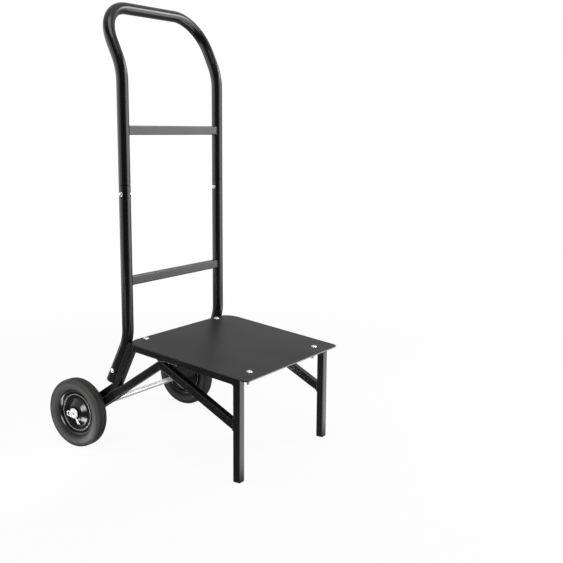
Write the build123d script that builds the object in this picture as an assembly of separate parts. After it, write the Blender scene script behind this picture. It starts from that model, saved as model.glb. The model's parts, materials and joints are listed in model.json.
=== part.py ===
from build123d import *
from math import asin, atan2, cos, radians, sin, sqrt, tan
import os

# Hand cart for stacks of chairs. Two side frames of square tube carry a sloping deck, a bent tube handle plugs
# into sockets behind the deck, and two wheels turn on a fixed axle.
# Millimetres. X runs across the cart, Y from the front edge of the deck (-Y) to the wheels (+Y), Z up.
# The floor is Z = 0 and the origin is under the middle of the cart. Left is -X and right is +X.

# Overall
FRAME_WIDTH = 450.0          # over the outer faces of the side frames
HANDLE_HEIGHT = 1250.0       # floor to the top of the handle

# Deck
DECK_DEPTH = 410.0           # along its slope
DECK_THICKNESS = 3.0
DECK_SIDE_OVERHANG = 12.5    # past the side frames
DECK_FRONT_HEIGHT = 281.0    # floor to the top of the front edge
DECK_SLOPE = 6.7             # degrees, falling to the front
DECK_FRONT_CORNER = 18.0     # corner radius
DECK_REAR_CORNER = 46.0      # corner radius
DECK_EDGE_ROUND = 0.8

# Square tube of the side frames
TUBE_SIDE = 22.0
TUBE_WALL = 1.5
TUBE_CORNER = 2.6            # outer corner radius
TUBE_INNER_CORNER = 1.0
LEG_SETBACK = 30.0           # front edge of the deck to the front of the legs
BRACE_FOOT_HEIGHT = 153.0    # where the brace's centre line meets the leg
JOINT_FROM_REAR = 117.0      # rear edge of the deck to the joint of brace and arm, along the deck
POST_ANGLE = 26.5            # degrees from upright
POST_TUCK = 0.8              # top of the post inside the deck's rear edge

# Foot glides
GLIDE_SOLE = 4.0
GLIDE_PLUG = 14.0
GLIDE_PLAY = 0.1

# Handle tubes
HANDLE_OD = 32.0
HANDLE_WALL = 2.0
HANDLE_TUCK = 1.6            # front of the tube past the deck's rear edge
LOWER_BEND_RADIUS = 120.0
JOINT_HEIGHT = 757.0         # seam between the upper and lower handle
KICK_ANGLE = 24.7            # degrees that the grip leans back
KICK_RADIUS = 165.0
KICK_STRAIGHT = 45.0         # between the kick and the grip's corners
GRIP_CORNER_RADIUS = 105.0
SPIGOT_LENGTH = 45.0
SPIGOT_SHOULDER = 4.0
SPIGOT_PLAY = 0.1
SEAM_CHAMFER = 0.8           # eased outer edges where two tubes meet

# Sockets behind the rear posts
SOCKET_SEAM = 90.0           # from the lower bend's corner down to the socket's rim
SOCKET_LENGTH = 52.0
SOCKET_PLUG_SOLE = 3.0
SOCKET_PLUG_DEPTH = 5.0

# Crossbars of the handle
CROSSBAR_HEIGHT = 25.0
CROSSBAR_DEPTH = 18.0
CROSSBAR_WALL = 1.5
CROSSBAR_CORNER = 3.0
CROSSBAR_INNER_CORNER = 1.5
UPPER_BAR_BELOW_TOP = 346.0
LOWER_BAR_HEIGHT = 494.0

# Cross bolts of the handle
HANDLE_BOLT = 6.0
HANDLE_BOLT_HEAD = 13.0
HANDLE_BOLT_DOME = 4.0
HANDLE_NUT_FLATS = 10.0
HANDLE_NUT_HEIGHT = 5.0
HANDLE_BOLT_TIP = 3.0        # thread past the nut
HANDLE_BOLT_BELOW_SEAM = 23.5
SOCKET_BOLT_BELOW_SEAM = 17.0

# Deck bolts and the flat straps that they pass through
STRAP_WIDTH = 22.0
STRAP_THICKNESS = 4.0
DECK_BOLT = 8.0
DECK_BOLT_HEAD = 17.0
DECK_BOLT_DOME = 4.4
DECK_BOLT_LENGTH = 36.0
DECK_NUT_FLATS = 13.0
DECK_NUT_HEIGHT = 6.5
DECK_WASHER_OD = 18.0
DECK_WASHER_THICKNESS = 1.6
DECK_BOLT_FROM_SIDE = 72.0   # side edge of the deck to the bolts
REAR_BOLT_INSET = 13.0       # rear edge of the deck to the rear bolts
BOLT_HOLE_PLAY = 0.25
NUT_PLAY = 0.05

# Axle, its plates and its stack of loose pieces
AXLE_DIAMETER = 16.0
AXLE_BEHIND_DECK = 178.3     # rear edge of the deck to the axle
AXLE_ABOVE_ARM = 12.0        # axle to the arm's centre line
AXLE_PLATE_WIDTH = 46.0
AXLE_PLATE_THICKNESS = 5.0
AXLE_PLATE_GAP = 2.0         # upper end of the plate to the socket's plug
AXLE_FIT = 0.1
AXLE_CHAMFER = 1.0
SPACER_WALL = 4.0
SPACER_ARM_GAP = 2.0
WASHER_RIM = 7.0             # width of the washer's ring
WASHER_THICKNESS = 2.0
WHEEL_PLAY = 0.3             # end play on each side of the hub
COTTER_DIAMETER = 4.0
COTTER_PLAY = 0.2
COTTER_TILT = 6.0            # degrees that the pin rises to the front
COTTER_EYE = 6.3             # radius of the eye's centre line
COTTER_EYE_WIRE = 1.6        # radius of the eye's wire
COTTER_BEND = 72.0           # degrees that the legs are turned down in front of the axle
COTTER_LEG = 33.0            # length of the turned legs
COTTER_SPREAD = 6.0          # degrees that each leg opens
COTTER_SLIT = 0.4
AXLE_END = 6.5               # axle past the cotter

# Wheels
WHEEL_DIAMETER = 200.0
WHEEL_GAP = 3.0              # side frame to tyre
TYRE_WIDTH = 42.0
TYRE_SHOULDER = 14.0         # radius between sidewall and tread
TYRE_SWELL = 11.0            # height over which the sidewall swells from the rim's lip to the full width
TYRE_SWELL_ROUND = 30.0      # radius of the swell
TYRE_LIP_HOLLOW = 5.0        # sidewall outside the rim's lip
TYRE_FIT = 0.15
TREAD_GROOVE_WIDTH = 2.4
TREAD_GROOVE_DEPTH = 2.0
TREAD_GROOVE_SPACING = 10.0
RIM_SHEET = 1.6
RIM_LIP_RADIUS = 64.0
RIM_LIP_HEIGHT = 4.0         # lip above the tyre's seat
RING_RADIUS = 53.0           # raised ring of the disc
RING_RISE = 5.0
RING_WIDTH = 3.0
GROOVE_WIDTH = 6.5           # flat ring where the two halves are joined
DOME_RADIUS = 40.0
DOME_RISE = 13.0
DOME_FLAT_RADIUS = 23.0
DOME_ROUND = 22.0            # radius between the dome's flat and its flank
RIM_FILLET = 2.5
HUB_LENGTH = 32.0            # over the bushes' flanges
HUB_WALL = 2.0
BUSH_WALL = 2.0
BUSH_FLANGE = 2.0
BUSH_DEPTH = 11.0            # sleeve inside the hub tube
BUSH_PLAY = 0.05             # running fit on the axle
BUSH_FIT = 0.05

# Room left for the weld bead where a curved piece meets its neighbour
WELD_GAP = 0.1


# Worked out from the driving dimensions
slope = radians(DECK_SLOPE)
post_lean = radians(POST_ANGLE)
kick = radians(KICK_ANGLE)
wheel_r = WHEEL_DIAMETER / 2
deck_run = DECK_DEPTH * cos(slope)
deck_width = FRAME_WIDTH + 2 * DECK_SIDE_OVERHANG
deck_front_y = -(deck_run + AXLE_BEHIND_DECK + wheel_r) / 2
deck_rear_y = deck_front_y + deck_run
axle_y = deck_rear_y + AXLE_BEHIND_DECK
frame_x = FRAME_WIDTH / 2 - TUBE_SIDE / 2
frame_inner_x = FRAME_WIDTH / 2 - TUBE_SIDE
handle_r = HANDLE_OD / 2
handle_bore = handle_r - HANDLE_WALL
handle_x = FRAME_WIDTH / 2 - handle_r
handle_y = deck_rear_y + handle_r - HANDLE_TUCK
cut_allowance = 3 * TUBE_SIDE


def deck_point(along, below):
    """Side-view point (y, z): along the deck from its front edge, and below its top face."""
    y = deck_front_y + along * cos(slope) + below * sin(slope)
    z = DECK_FRONT_HEIGHT + along * sin(slope) - below * cos(slope)
    return Vector(0, y, z)


def side_direction(angle):
    """Unit vector of the side view; the angle is up from +Y, in radians."""
    return Vector(0, cos(angle), sin(angle))


# Side-view lines of the frame
deck_up = side_direction(slope + radians(90))
leg_front_y = deck_front_y + LEG_SETBACK
leg_rear_y = leg_front_y + TUBE_SIDE
post_down = side_direction(post_lean - radians(90))
post_back = side_direction(post_lean)
post_top_rear = deck_point(DECK_DEPTH - POST_TUCK, DECK_THICKNESS)
joint_point = deck_point(DECK_DEPTH - JOINT_FROM_REAR, DECK_THICKNESS + 1.5 * TUBE_SIDE)
axle_point = Vector(0, axle_y, wheel_r)
to_axle = axle_point - joint_point
arm_angle = atan2(to_axle.Z, to_axle.Y) - asin(AXLE_ABOVE_ARM / to_axle.length)
arm_down = side_direction(arm_angle)
arm_up = side_direction(arm_angle + radians(90))
arm_foot = sqrt(to_axle.length ** 2 - AXLE_ABOVE_ARM ** 2)
brace_start = Vector(0, leg_rear_y, BRACE_FOOT_HEIGHT)
brace_up = (joint_point - brace_start).normalized()

# Cutting planes; each normal points at what is cut away
deck_underside = Plane(deck_point(0, DECK_THICKNESS), x_dir=(1, 0, 0), z_dir=deck_up)
rail_underside = Plane(deck_point(0, DECK_THICKNESS + TUBE_SIDE), x_dir=(1, 0, 0), z_dir=deck_up)
leg_back = Plane((0, leg_rear_y, 0), x_dir=(1, 0, 0), z_dir=(0, -1, 0))
post_front = Plane(post_top_rear - post_back * TUBE_SIDE, x_dir=(1, 0, 0), z_dir=post_back)
mitre_back = Plane(joint_point, x_dir=(1, 0, 0), z_dir=brace_up + arm_down)
mitre_front = Plane(joint_point, x_dir=(1, 0, 0), z_dir=-(brace_up + arm_down))
arm_top = Plane(joint_point + arm_up * (TUBE_SIDE / 2), x_dir=(1, 0, 0), z_dir=-arm_up)

# The handle's path: sockets and lower tubes lean like the posts, then stand upright
socket_line = post_top_rear + post_back * (handle_r + WELD_GAP)
bend_corner = socket_line + post_down * ((handle_y - socket_line.Y) / post_down.Y)
socket_rim = bend_corner + post_down * SOCKET_SEAM
socket_foot = socket_rim + post_down * SOCKET_LENGTH
plate_end = socket_foot + post_down * (SOCKET_PLUG_SOLE + AXLE_PLATE_GAP)
under_socket = Plane(plate_end, x_dir=(1, 0, 0), z_dir=-post_down)
grip_lean = Vector(0, sin(kick), cos(kick))
grip_rise = KICK_RADIUS * sin(kick) + (KICK_STRAIGHT + GRIP_CORNER_RADIUS) * cos(kick)
kick_height = HANDLE_HEIGHT - handle_r - grip_rise

# The axle's stack of pieces, from the side frame out
wheel_x = FRAME_WIDTH / 2 + WHEEL_GAP + TYRE_WIDTH / 2
hub_inner_x = wheel_x - HUB_LENGTH / 2
hub_outer_x = wheel_x + HUB_LENGTH / 2
spacer_end_x = hub_inner_x - WHEEL_PLAY - WASHER_THICKNESS
washer_outer_x = hub_outer_x + WHEEL_PLAY
cotter_x = washer_outer_x + WASHER_THICKNESS + COTTER_PLAY + max(COTTER_DIAMETER / 2, COTTER_EYE_WIRE)
axle_half = cotter_x + COTTER_DIAMETER / 2 + AXLE_END
axle_r = AXLE_DIAMETER / 2
spacer_r = axle_r + AXLE_FIT + SPACER_WALL

# The wheel's radii
bush_r = axle_r + BUSH_PLAY + BUSH_WALL
hub_bore = bush_r + BUSH_FIT
hub_r = hub_bore + HUB_WALL
rim_half = TYRE_WIDTH / 2 - TYRE_LIP_HOLLOW
seat_r = RIM_LIP_RADIUS - RIM_LIP_HEIGHT


def at_side(point, x):
    """The side-view point moved out to x."""
    return Vector(x, point.Y, point.Z)


def trimmed(shape, *planes):
    """The shape with everything in front of the planes cut away."""
    for plane in planes:
        shape = split(shape, bisect_by=plane, keep=Keep.BOTTOM)
    return shape


def square_tube(start, direction, length):
    """Square tube of the right side frame, along a side-view line."""
    inner_side = TUBE_SIDE - 2 * TUBE_WALL
    section = RectangleRounded(TUBE_SIDE, TUBE_SIDE, TUBE_CORNER)
    section -= RectangleRounded(inner_side, inner_side, TUBE_INNER_CORNER)
    place = Plane(at_side(start, frame_x), x_dir=(1, 0, 0), z_dir=direction)
    return extrude(place * section, amount=length)


def ring(origin, direction, outer_r, inner_r, length):
    """Straight round sleeve from an origin along a direction."""
    section = Circle(outer_r) - Circle(inner_r)
    return extrude(Plane(origin, z_dir=direction) * section, amount=length)


def rod(origin, direction, radius, length):
    """Straight round bar from an origin along a direction."""
    return extrude(Plane(origin, z_dir=direction) * Circle(radius), amount=length)


def dome_bolt(origin, direction, diameter, head, dome, length):
    """Domed bolt whose head sits on the origin and looks along the direction; its shank goes the other way."""
    outline = Polyline((0, dome), (0, -length), (diameter / 2, -length), (diameter / 2, 0), (head / 2, 0))
    outline += TangentArc((0, dome), (head / 2, 0), tangent=(1, 0))
    bolt = revolve(Plane.XZ * make_face(outline), axis=Axis.Z)
    return Plane(origin, z_dir=direction).location * bolt


def hex_nut(origin, direction, diameter, flats, height):
    """Nut that sits on the origin and reaches along the direction."""
    section = RegularPolygon(radius=flats / 2, side_count=6, major_radius=False)
    section -= Circle(diameter / 2 + NUT_PLAY)
    return extrude(Plane(origin, z_dir=direction) * section, amount=height)


def spigot(seam, direction):
    """Reduced plug-in end of a handle tube; the direction points out of the tube."""
    plug_r = handle_bore - SPIGOT_PLAY
    plug_bore = plug_r - HANDLE_WALL
    inside = seam - direction * SPIGOT_SHOULDER
    shoulder = ring(inside, direction, handle_r, plug_bore, SPIGOT_SHOULDER)
    return shoulder + ring(inside, direction, plug_r, plug_bore, SPIGOT_SHOULDER + SPIGOT_LENGTH)


def ease_seam(tube, seam):
    """The tube with its outer edge at a seam eased, so that the joint shows as a fine line."""
    rims = tube.edges().filter_by(GeomType.CIRCLE)
    rims = rims.filter_by(lambda rim: handle_r - rim.radius < HANDLE_WALL / 2)
    rims = rims.filter_by(lambda rim: (rim.arc_center - seam).length < SPIGOT_SHOULDER / 2)
    return chamfer(rims, SEAM_CHAMFER)


def bent_tube(path):
    """Round handle tube along a path of straight runs and tangent arcs."""
    section = Circle(handle_r) - Circle(handle_bore)
    start = Plane(path @ 0, z_dir=path % 0)
    return sweep(start * section, path=path)


def cross_hole(point):
    """Hole for a cross bolt of the handle."""
    reach = HANDLE_OD
    return rod((handle_x - reach, point.Y, point.Z), (1, 0, 0), HANDLE_BOLT / 2 + BOLT_HOLE_PLAY, 2 * reach)


def cross_bolt(point):
    """Bolt through a handle joint, with its head on the outer side and a nut on the inner side."""
    head_x = handle_x + handle_r + WELD_GAP
    nut_x = handle_x - handle_r - WELD_GAP
    length = head_x - nut_x + HANDLE_NUT_HEIGHT + HANDLE_BOLT_TIP
    head = at_side(point, head_x)
    bolt = dome_bolt(head, (1, 0, 0), HANDLE_BOLT, HANDLE_BOLT_HEAD, HANDLE_BOLT_DOME, length)
    nut = hex_nut(at_side(point, nut_x), (-1, 0, 0), HANDLE_BOLT, HANDLE_NUT_FLATS, HANDLE_NUT_HEIGHT)
    return bolt, nut


def side_frame():
    """Square tubes of the right side frame."""
    leg_start = Vector(0, leg_front_y + TUBE_SIDE / 2, GLIDE_SOLE)
    leg = square_tube(leg_start, Vector(0, 0, 1), DECK_FRONT_HEIGHT + cut_allowance)
    rail_start = deck_point(0, DECK_THICKNESS + TUBE_SIDE / 2)
    rail = square_tube(rail_start, side_direction(slope), DECK_DEPTH + cut_allowance)
    brace_length = (joint_point - brace_start).length + 2 * cut_allowance
    brace = square_tube(brace_start - brace_up * cut_allowance, brace_up, brace_length)
    arm_length = arm_foot - spacer_r - SPACER_ARM_GAP
    arm = square_tube(joint_point - arm_down * cut_allowance, arm_down, arm_length + cut_allowance)
    post_start = post_top_rear - post_back * (TUBE_SIDE / 2) - post_down * cut_allowance
    post = square_tube(post_start, post_down, DECK_FRONT_HEIGHT + 2 * cut_allowance)
    return {
        "front_leg": trimmed(leg, deck_underside),
        "side_rail": trimmed(rail, leg_back, post_front),
        "brace": trimmed(brace, leg_back, mitre_back, rail_underside),
        "axle_arm": trimmed(arm, mitre_front, rail_underside),
        "rear_post": trimmed(post, deck_underside, arm_top),
    }


def axle_plate():
    """Flat plate on the inner face of the arm, from round the axle to just under the socket."""
    place = Plane(at_side(axle_point, frame_inner_x - AXLE_PLATE_THICKNESS), x_dir=-arm_down, z_dir=(1, 0, 0))
    end_r = AXLE_PLATE_WIDTH / 2
    outline = Circle(end_r) + Pos(arm_foot / 2, 0) * Rectangle(arm_foot, AXLE_PLATE_WIDTH)
    outline -= Circle(axle_r + AXLE_FIT)
    return trimmed(extrude(place * outline, amount=AXLE_PLATE_THICKNESS), under_socket)


def foot_glide():
    """Plastic foot: a sole under the leg and a plug inside it."""
    plug_side = TUBE_SIDE - 2 * TUBE_WALL - 2 * GLIDE_PLAY
    place = Pos(frame_x, leg_front_y + TUBE_SIDE / 2, 0)
    sole = extrude(RectangleRounded(TUBE_SIDE, TUBE_SIDE, TUBE_CORNER), amount=GLIDE_SOLE)
    plug = extrude(RectangleRounded(plug_side, plug_side, TUBE_INNER_CORNER), amount=GLIDE_SOLE + GLIDE_PLUG)
    return place * (sole + plug)


def handle_tube():
    """Right lower handle tube: leaning plug-in end, bend, and upright run to the seam."""
    lower = at_side(socket_rim, handle_x)
    corner = at_side(bend_corner, handle_x)
    upper = Vector(handle_x, handle_y, JOINT_HEIGHT)
    path = FilletPolyline(lower, corner, upper, radius=LOWER_BEND_RADIUS)
    tube = bent_tube(path) + spigot(lower, post_down)
    for seam in (lower, upper):
        tube = ease_seam(tube, seam)
    return tube - cross_hole(joint_bolt_point) - cross_hole(socket_bolt_point)


def handle_upper():
    """Upper handle: an upside-down U that leans back above the kick."""
    kick_corner = Vector(0, handle_y, kick_height + KICK_RADIUS * tan(kick / 2))
    lean_length = KICK_RADIUS * tan(kick / 2) + KICK_STRAIGHT + GRIP_CORNER_RADIUS
    grip = kick_corner + grip_lean * lean_length
    seam = Vector(0, handle_y, JOINT_HEIGHT)
    points = [
        at_side(seam, -handle_x),
        at_side(kick_corner, -handle_x),
        at_side(grip, -handle_x),
        at_side(grip, handle_x),
        at_side(kick_corner, handle_x),
        at_side(seam, handle_x),
    ]
    bends = [KICK_RADIUS, GRIP_CORNER_RADIUS, GRIP_CORNER_RADIUS, KICK_RADIUS]
    tube = bent_tube(FilletPolyline(*points, radius=bends))
    hole = cross_hole(joint_bolt_point)
    for x in (-handle_x, handle_x):
        tube += spigot(at_side(seam, x), Vector(0, 0, -1))
        tube = ease_seam(tube, at_side(seam, x))
    return tube - hole - mirror(hole, about=Plane.YZ)


def crossbar(height):
    """Flat tube between the handle's sides, its ends hollowed to fit round them."""
    section = RectangleRounded(CROSSBAR_DEPTH, CROSSBAR_HEIGHT, CROSSBAR_CORNER)
    inner_depth = CROSSBAR_DEPTH - 2 * CROSSBAR_WALL
    inner_height = CROSSBAR_HEIGHT - 2 * CROSSBAR_WALL
    section -= RectangleRounded(inner_depth, inner_height, CROSSBAR_INNER_CORNER)
    start = Plane((-handle_x, handle_y, height), x_dir=(0, 1, 0), z_dir=(1, 0, 0))
    bar = extrude(start * section, amount=2 * handle_x)
    for x in (-handle_x, handle_x):
        foot = Vector(x, handle_y, height - CROSSBAR_HEIGHT)
        bar -= rod(foot, (0, 0, 1), handle_r + WELD_GAP, 2 * CROSSBAR_HEIGHT)
    return bar


def socket():
    """Short round tube behind the right post, open at both ends."""
    rim = at_side(socket_rim, handle_x)
    tube = ring(rim, post_down, handle_r, handle_bore, SOCKET_LENGTH)
    return ease_seam(tube, rim) - cross_hole(socket_bolt_point)


def socket_plug():
    """Plastic plug in the lower end of the right socket."""
    end = at_side(socket_foot, handle_x)
    cap = rod(end, post_down, handle_r, SOCKET_PLUG_SOLE)
    return cap + rod(end - post_down * SOCKET_PLUG_DEPTH, post_down, handle_bore - SPIGOT_PLAY, SOCKET_PLUG_DEPTH)


def deck_frame(along, x, below):
    """Place on the deck with its Z across the deck, below its top face."""
    return Plane(at_side(deck_point(along, below), x), x_dir=(1, 0, 0), z_dir=deck_up)


def deck_plate():
    """Sheet deck with rounded corners and bolt holes."""
    middle = DECK_DEPTH / 2
    outline = Rectangle(deck_width, DECK_DEPTH)
    outline = fillet(outline.vertices().group_by(Axis.Y)[-1], DECK_REAR_CORNER)
    outline = fillet(outline.vertices().group_by(Axis.Y)[0], DECK_FRONT_CORNER)
    plate = extrude(outline, amount=-DECK_THICKNESS)
    plate = fillet(plate.faces().sort_by(Axis.Z)[-1].edges(), DECK_EDGE_ROUND)
    plate = deck_frame(middle, 0, 0).location * plate
    for along, x in bolt_places:
        plate -= bolt_hole(along, x)
    return plate


def bolt_hole(along, x):
    """Hole for a deck bolt, through the deck and its strap."""
    start = deck_frame(along, x, DECK_BOLT_LENGTH)
    return extrude(start * Circle(DECK_BOLT / 2 + BOLT_HOLE_PLAY), amount=2 * DECK_BOLT_LENGTH)


def strap(along):
    """Flat bar under the deck, between the side frames."""
    start = deck_frame(along, 0, DECK_THICKNESS)
    bar = extrude(start * Rectangle(2 * frame_inner_x, STRAP_WIDTH), amount=-STRAP_THICKNESS)
    for x in (-bolt_x, bolt_x):
        bar -= bolt_hole(along, x)
    return bar


def deck_fastener(along, x):
    """Carriage bolt with its washer and nut."""
    washer_below = DECK_THICKNESS + STRAP_THICKNESS
    nut_below = washer_below + DECK_WASHER_THICKNESS
    head = deck_frame(along, x, 0).origin
    bolt = dome_bolt(head, deck_up, DECK_BOLT, DECK_BOLT_HEAD, DECK_BOLT_DOME, DECK_BOLT_LENGTH)
    washer_top = deck_frame(along, x, washer_below).origin
    bore = DECK_BOLT / 2 + BOLT_HOLE_PLAY
    washer = ring(washer_top, -deck_up, DECK_WASHER_OD / 2, bore, DECK_WASHER_THICKNESS)
    nut_top = deck_frame(along, x, nut_below).origin
    nut = hex_nut(nut_top, -deck_up, DECK_BOLT, DECK_NUT_FLATS, DECK_NUT_HEIGHT)
    return bolt, washer, nut


def on_axle(x):
    """Point on the axle's centre line."""
    return at_side(axle_point, x)


cotter_legs = Vector(0, -cos(radians(COTTER_TILT)), sin(radians(COTTER_TILT)))


def axle():
    """Bright rod with chamfered ends and a cross hole for each cotter pin."""
    bar = rod(on_axle(-axle_half), (1, 0, 0), axle_r, 2 * axle_half)
    bar = chamfer(bar.edges().filter_by(GeomType.CIRCLE), AXLE_CHAMFER)
    for x in (-cotter_x, cotter_x):
        hole_start = on_axle(x) - cotter_legs * AXLE_DIAMETER
        bar -= rod(hole_start, cotter_legs, COTTER_DIAMETER / 2 + COTTER_PLAY, 2 * AXLE_DIAMETER)
    return bar


def cotter_pin():
    """Split pin: an eye, two half-round legs through the axle, and their ends turned down and spread."""
    pin_r = COTTER_DIAMETER / 2
    entry = axle_r + COTTER_PLAY
    turn = Pos(0, 0, -(entry + pin_r))
    legs = [turn * Sphere(pin_r)]
    for way in (-1, 1):
        half = Circle(pin_r) & Pos(0, way * (pin_r + COTTER_SLIT / 2)) * Rectangle(2 * pin_r, 2 * pin_r)
        shank = extrude(turn * half, amount=2 * entry + pin_r + COTTER_EYE_WIRE)
        tail = extrude(half, amount=-COTTER_LEG)
        legs += [shank, turn * Rot(COTTER_BEND + way * COTTER_SPREAD, 0, 0) * tail]
    eye_height = entry + COTTER_EYE_WIRE + COTTER_EYE
    eye = Pos(0, 0, eye_height) * Rot(0, 90, 0) * Torus(COTTER_EYE, COTTER_EYE_WIRE)
    pin = eye + legs
    return Plane(on_axle(cotter_x), x_dir=(1, 0, 0), z_dir=-cotter_legs).location * pin


def rim_half_disc():
    """Outer stamped half of the wheel disc: dome, joining ring, raised ring, tyre seat and lip."""
    seat_inside = seat_r - RIM_SHEET
    ring_foot = RING_RADIUS - RING_WIDTH / 2
    ring_top = RING_RADIUS + RING_WIDTH / 2
    lip_x = rim_half + RIM_SHEET
    line = FilletPolyline(
        (DOME_RISE, hub_r + WELD_GAP),
        (DOME_RISE, DOME_FLAT_RADIUS),
        (RIM_SHEET, DOME_RADIUS),
        (RIM_SHEET, DOME_RADIUS + GROOVE_WIDTH),
        (RING_RISE, ring_foot),
        (RING_RISE, ring_top),
        (RIM_SHEET, seat_inside),
        (lip_x, seat_inside),
        (lip_x, RIM_LIP_RADIUS),
        radius=[DOME_ROUND, 2 * RIM_FILLET, RIM_FILLET, RIM_FILLET, RIM_FILLET, RIM_FILLET / 2, RIM_FILLET],
    )
    section = make_face(offset(line, amount=RIM_SHEET, side=Side.LEFT))
    return revolve(section, axis=Axis.X)


def tyre():
    """Solid tyre: a foot between the rim's lips, rounded sidewalls and a grooved tread."""
    lip_x = rim_half + RIM_SHEET
    lip_top = RIM_LIP_RADIUS + TYRE_FIT
    foot = (rim_half - TYRE_FIT, seat_r + TYRE_FIT)
    swell = (TYRE_WIDTH / 2, lip_top + TYRE_SWELL)
    shoulder = (TYRE_WIDTH / 2, wheel_r)
    outline = Polyline(
        (0, foot[1]),
        foot,
        (foot[0], lip_top),
        (lip_x, lip_top),
        swell,
        shoulder,
        (0, wheel_r),
        close=True,
    )
    half = make_face(outline)
    for corner, radius in ((foot, RIM_FILLET), (swell, TYRE_SWELL_ROUND), (shoulder, TYRE_SHOULDER)):
        half = fillet(half.vertices().sort_by_distance((*corner, 0))[0], radius)
    groove = Rectangle(TREAD_GROOVE_WIDTH, 2 * TREAD_GROOVE_DEPTH)
    half -= Pos(TREAD_GROOVE_SPACING / 2, wheel_r) * groove
    section = half + mirror(half, about=Plane.YZ)
    return revolve(section, axis=Axis.X)


def wheel():
    """Pieces of the right wheel, in place on the axle."""
    place = Pos(wheel_x, axle_y, wheel_r)
    tube_half = HUB_LENGTH / 2 - BUSH_FLANGE
    disc = rim_half_disc()
    hub = ring((-tube_half, 0, 0), (1, 0, 0), hub_r, hub_bore, 2 * tube_half)
    bushes = []
    for way in (-1, 1):
        outward = Vector(way, 0, 0)
        bore = axle_r + BUSH_PLAY
        flange = ring(outward * tube_half, outward, hub_r, bore, BUSH_FLANGE)
        sleeve = ring(outward * (tube_half - BUSH_DEPTH), outward, bush_r, bore, BUSH_DEPTH)
        bushes.append(place * (flange + sleeve))
    return {
        "tyre": place * tyre(),
        "rim_outer": place * disc,
        "rim_inner": place * mirror(disc, about=Plane.YZ),
        "hub": place * hub,
        "bushes": Compound(bushes),
    }


def mirrored(shape):
    """The left-hand twin of a right-hand piece."""
    return mirror(shape, about=Plane.YZ)


def group(shapes):
    """Separate solids kept together in one node."""
    return Compound([solid for shape in shapes for solid in shape.solids()])


def save(name, shape):
    export_step(shape, f"parts/{name}.step")


def save_pair(name, shape):
    save(f"{name}_right", shape)
    save(f"{name}_left", mirrored(shape))


def save_group(name, right_shapes):
    save(name, group(list(right_shapes) + [mirrored(shape) for shape in right_shapes]))


# Places of the bolts
joint_bolt_point = Vector(0, handle_y, JOINT_HEIGHT - HANDLE_BOLT_BELOW_SEAM)
socket_bolt_point = socket_rim + post_down * SOCKET_BOLT_BELOW_SEAM
bolt_x = deck_width / 2 - DECK_BOLT_FROM_SIDE
front_bolt_along = (LEG_SETBACK + TUBE_SIDE / 2) / cos(slope)
rear_bolt_along = DECK_DEPTH - REAR_BOLT_INSET
bolt_places = [(along, x) for along in (front_bolt_along, rear_bolt_along) for x in (-bolt_x, bolt_x)]

os.makedirs("parts", exist_ok=True)

# Side frames
for name, tube in side_frame().items():
    save_pair(name, tube)
save_pair("axle_plate", axle_plate())
save_pair("foot_glide", foot_glide())

# Deck
save("deck_plate", deck_plate())
save("front_strap", strap(front_bolt_along))
save("rear_strap", strap(rear_bolt_along))
fasteners = [deck_fastener(along, x) for along, x in bolt_places]
save("deck_bolts", group([bolt for bolt, washer, nut in fasteners]))
save("deck_washers", group([washer for bolt, washer, nut in fasteners]))
save("deck_nuts", group([nut for bolt, washer, nut in fasteners]))

# Handle
save("handle_upper", handle_upper())
save_pair("handle_tube", handle_tube())
save("crossbar_upper", crossbar(HANDLE_HEIGHT - UPPER_BAR_BELOW_TOP))
save("crossbar_lower", crossbar(LOWER_BAR_HEIGHT))
save_pair("socket", socket())
save_group("socket_plugs", [socket_plug()])
for name, point in (("handle", joint_bolt_point), ("socket", socket_bolt_point)):
    bolt, nut = cross_bolt(point)
    save_group(f"{name}_bolts", [bolt])
    save_group(f"{name}_nuts", [nut])

# Axle and wheels
save("axle", axle())
spacer_length = spacer_end_x - frame_inner_x
save_group("axle_spacers", [ring(on_axle(frame_inner_x), (1, 0, 0), spacer_r, axle_r + AXLE_FIT, spacer_length)])
washers = []
for start_x in (spacer_end_x, washer_outer_x):
    washer_bore = axle_r + AXLE_FIT
    washers.append(ring(on_axle(start_x), (1, 0, 0), axle_r + WASHER_RIM, washer_bore, WASHER_THICKNESS))
save_group("axle_washers", washers)
save_pair("cotter_pin", cotter_pin())
for name, piece in wheel().items():
    save_pair(name, piece)
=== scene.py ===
# %% [markdown]
# # Dressing a chair cart
# The cart's solids come from a CAD model at their real size. This lesson gives them their finishes, swaps
# the small plain pieces for modelled ones, and sets up a studio view. Everything is in metres, in the CAD
# frame: X runs across the cart, Y from the front of the deck back to the wheels, and Z up from the floor.

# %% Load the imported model
import json
import math

import bpy
from mathutils import Matrix, Vector


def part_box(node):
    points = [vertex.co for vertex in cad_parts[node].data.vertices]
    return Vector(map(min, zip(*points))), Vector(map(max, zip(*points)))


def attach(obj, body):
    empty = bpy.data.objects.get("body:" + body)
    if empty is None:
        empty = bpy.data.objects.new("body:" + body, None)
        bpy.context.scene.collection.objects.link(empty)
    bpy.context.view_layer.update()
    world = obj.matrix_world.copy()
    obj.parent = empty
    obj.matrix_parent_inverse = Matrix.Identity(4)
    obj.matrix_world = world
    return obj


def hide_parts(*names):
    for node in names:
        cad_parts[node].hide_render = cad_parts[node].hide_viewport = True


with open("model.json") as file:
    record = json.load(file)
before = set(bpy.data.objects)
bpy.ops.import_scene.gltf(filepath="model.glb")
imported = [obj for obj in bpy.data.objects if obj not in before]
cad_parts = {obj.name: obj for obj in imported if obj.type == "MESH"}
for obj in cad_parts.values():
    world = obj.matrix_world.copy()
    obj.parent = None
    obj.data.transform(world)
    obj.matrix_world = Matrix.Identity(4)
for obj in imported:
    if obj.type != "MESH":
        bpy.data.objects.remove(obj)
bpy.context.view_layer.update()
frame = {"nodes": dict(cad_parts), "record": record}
nodes = frame["nodes"]


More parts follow.
